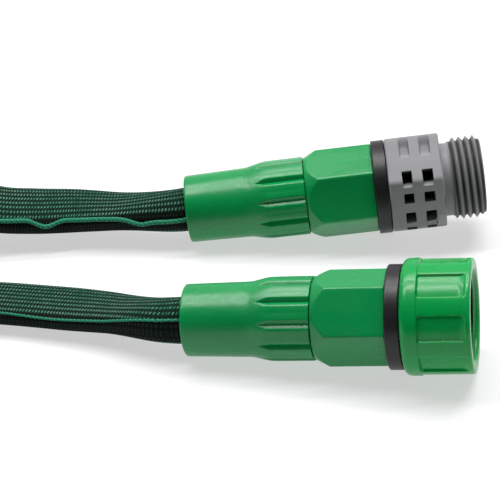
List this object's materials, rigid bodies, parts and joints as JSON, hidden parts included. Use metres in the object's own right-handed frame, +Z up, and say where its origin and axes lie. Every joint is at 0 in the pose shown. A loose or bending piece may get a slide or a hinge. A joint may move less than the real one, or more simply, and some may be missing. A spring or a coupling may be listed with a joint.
{
  "type": "soaker hose",
  "caption": "Flat woven soaker hose with a threaded male end and a swivelling female end, the rest wound in a tied coil.",
  "frame": {"origin": "bottom centre of the two couplings, on the surface that they lie on", "axes": "+Z up, +X towards the threaded ends, +Y from the female coupling to the male one"},
  "size_m": [0.3964, 0.213, 0.0432],
  "materials": {
    "green_moulding": "moulded, satin to gloss",
    "nut_moulding": "moulded, slightly translucent, glossy",
    "grey_moulding": "moulded, fine matt",
    "black_ring": "satin",
    "natural_plastic": "moulded, undyed",
    "seal_rubber": "matt",
    "hose_liner": "matt",
    "woven_jacket": "plain weave, black with pale green picks",
    "piping_braid": "braided cord",
    "tie_strap": "woven hook-and-loop strap"
  },
  "bodies": {
    "root": {"male_grip_sleeve": "green_moulding", "male_hex_body": "green_moulding", "male_seal_ring": "black_ring", "male_thread_end": "grey_moulding", "male_barb_stem": "natural_plastic", "male_collet": "natural_plastic", "male_o_ring": "seal_rubber", "male_jacket_end": "woven_jacket", "male_liner_end": "hose_liner", "female_grip_sleeve": "green_moulding", "female_hex_body": "green_moulding", "female_collar_ring": "black_ring", "female_barb_stem": "natural_plastic", "female_collet": "natural_plastic", "female_o_ring": "seal_rubber", "female_jacket_end": "woven_jacket", "female_liner_end": "hose_liner", "hose_run_female": "woven_jacket", "hose_run_male": "woven_jacket", "hose_coil": "woven_jacket", "coil_tie_1": "tie_strap", "coil_tie_2": "tie_strap", "coil_tie_3": "tie_strap"},
    "swivel": {"swivel_nut": "nut_moulding", "inlet_washer": "seal_rubber", "flow_restrictor": "natural_plastic"}
  },
  "joints": [
    {"name": "swivel_turn", "type": "hinge", "parent": "root", "child": "swivel", "pos_m": [0.02742, -0.0368, 0.01827], "axis": [0.9794, -0.178, 0.095], "continuous": true}
  ]
}
